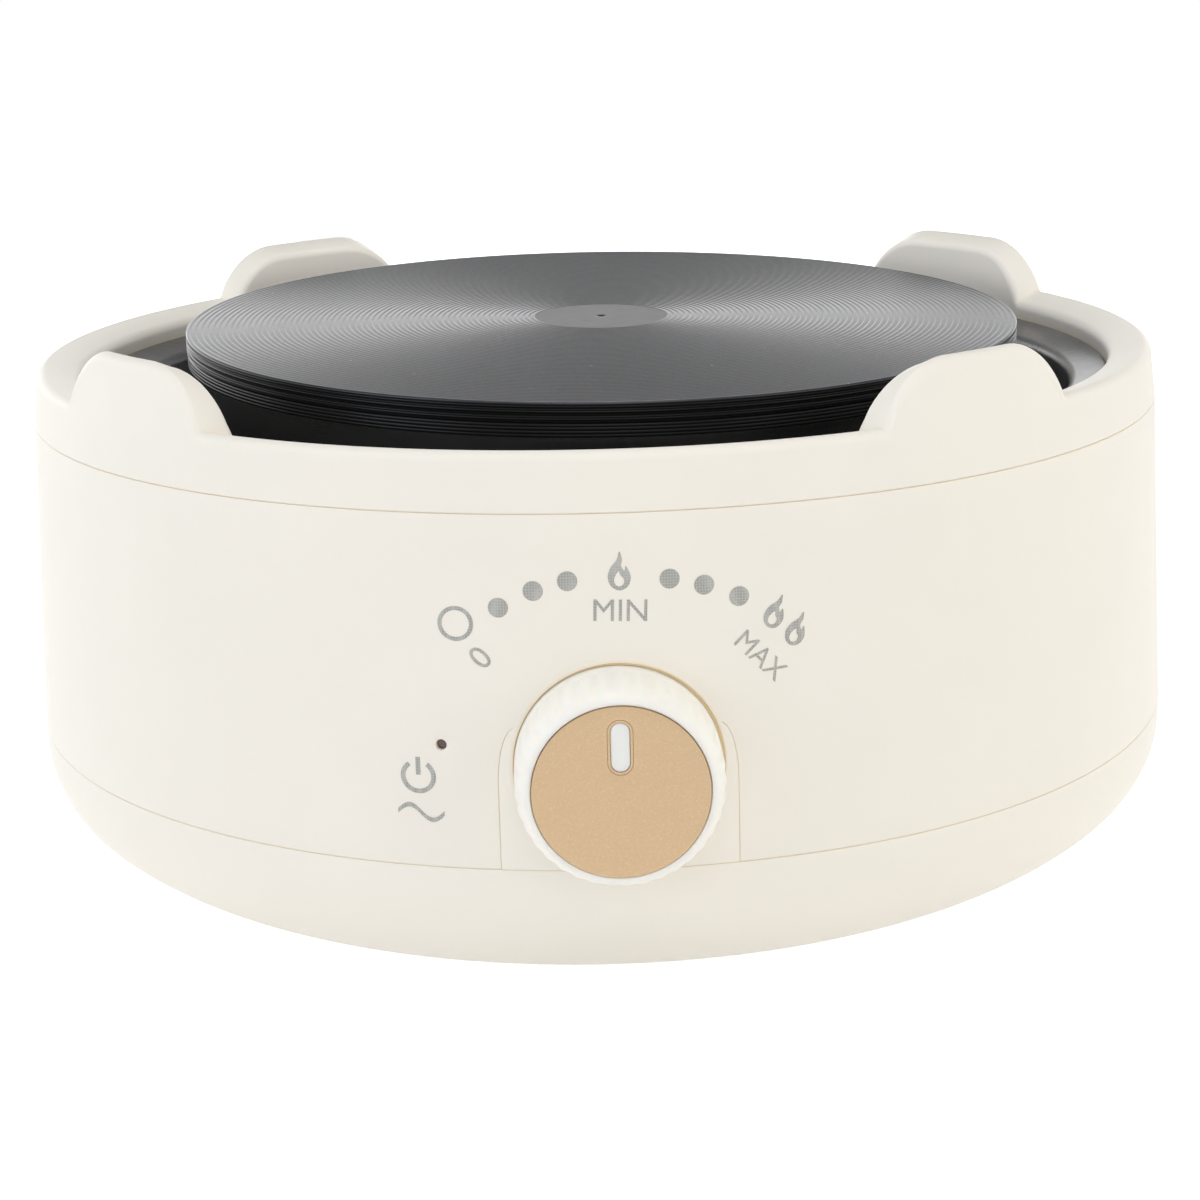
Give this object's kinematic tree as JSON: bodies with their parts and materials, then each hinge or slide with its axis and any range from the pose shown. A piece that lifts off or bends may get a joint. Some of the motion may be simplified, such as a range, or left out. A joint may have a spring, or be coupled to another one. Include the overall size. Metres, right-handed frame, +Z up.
{
  "type": "portable hot plate",
  "caption": "Round portable hot plate: ridged cast heating plate in a dark drip bowl, raised pan guards on its rim and a turning thermostat knob at the front.",
  "frame": {"origin": "on the body's axis, on the plane that the feet stand on", "axes": "+Z up, out of the heating plate; -Y to the front, where the knob is; +X to the right as seen from the front"},
  "size_m": [0.1862, 0.2034, 0.0906],
  "materials": {
    "cream_plastic": "satin moulded plastic",
    "white_plastic": "satin moulded plastic",
    "gold_cap": "fine-grained anodised sheet",
    "black_enamel": "enamelled pressed sheet",
    "cast_plate": "turned grooves, heat-proof coating",
    "element_sheath": "heat-darkened sheath",
    "mineral_fibre": "pressed mineral fibre",
    "zinc_steel": "zinc-plated",
    "white_ceramic": "unglazed ceramic",
    "brass_parts": "plain",
    "foot_rubber": "matte",
    "lens_red": "clear red-brown",
    "lamp_glass": "clear",
    "dark_plastic": "matte",
    "live_sleeve": "insulated wire",
    "switched_sleeve": "insulated wire",
    "neutral_sleeve": "insulated wire",
    "earth_sleeve": "insulated wire",
    "lead_sleeve": "insulated wire"
  },
  "bodies": {
    "housing": {"top_ring": "cream_plastic", "main_shell": "cream_plastic", "base_pan": "cream_plastic", "knob_panel": "cream_plastic", "cord_gland": "cream_plastic", "gland_nut": "cream_plastic", "drip_bowl": "black_enamel", "backing_pan": "black_enamel", "heating_plate": "cast_plate", "heating_element": "element_sheath", "insulation_disc": "mineral_fibre", "centre_stud": "zinc_steel", "spacer_sleeve": "zinc_steel", "support_bridge": "zinc_steel", "stud_washer": "zinc_steel", "stud_nut": "zinc_steel", "bridge_screws": "zinc_steel", "ring_screws": "zinc_steel", "base_screws": "zinc_steel", "thermostat_bracket": "zinc_steel", "bracket_screws": "zinc_steel", "bracket_nuts": "zinc_steel", "thermostat_frame": "zinc_steel", "bimetal_strip": "zinc_steel", "stack_rivet": "zinc_steel", "fuse_clip": "zinc_steel", "clip_screws": "zinc_steel", "block_screws": "zinc_steel", "element_insulators": "white_ceramic", "ceramic_spacers": "white_ceramic", "thermal_fuse": "white_ceramic", "terminal_block": "white_ceramic", "thermostat_bush": "brass_parts", "bush_nut": "brass_parts", "front_leaf": "brass_parts", "rear_leaf": "brass_parts", "earth_tag": "brass_parts", "feet": "foot_rubber", "indicator_lens": "lens_red", "neon_lamp": "lamp_glass", "lamp_plug": "dark_plastic", "live_wire": "live_sleeve", "switched_wire": "switched_sleeve", "supply_neutral_wire": "neutral_sleeve", "element_neutral_wire": "neutral_sleeve", "earth_wire": "earth_sleeve", "lamp_leads": "lead_sleeve"},
    "knob": {"spindle": "zinc_steel", "spindle_clip": "zinc_steel", "push_pin": "white_ceramic", "knob_body": "white_plastic", "knob_cap": "gold_cap", "knob_spring": "zinc_steel"}
  },
  "joints": [
    {"name": "knob_turn", "type": "hinge", "parent": "housing", "child": "knob", "pos_m": [0, -0.09, 0.039], "axis": [0, 1, 0], "range_deg": [-50, 50]}
  ]
}
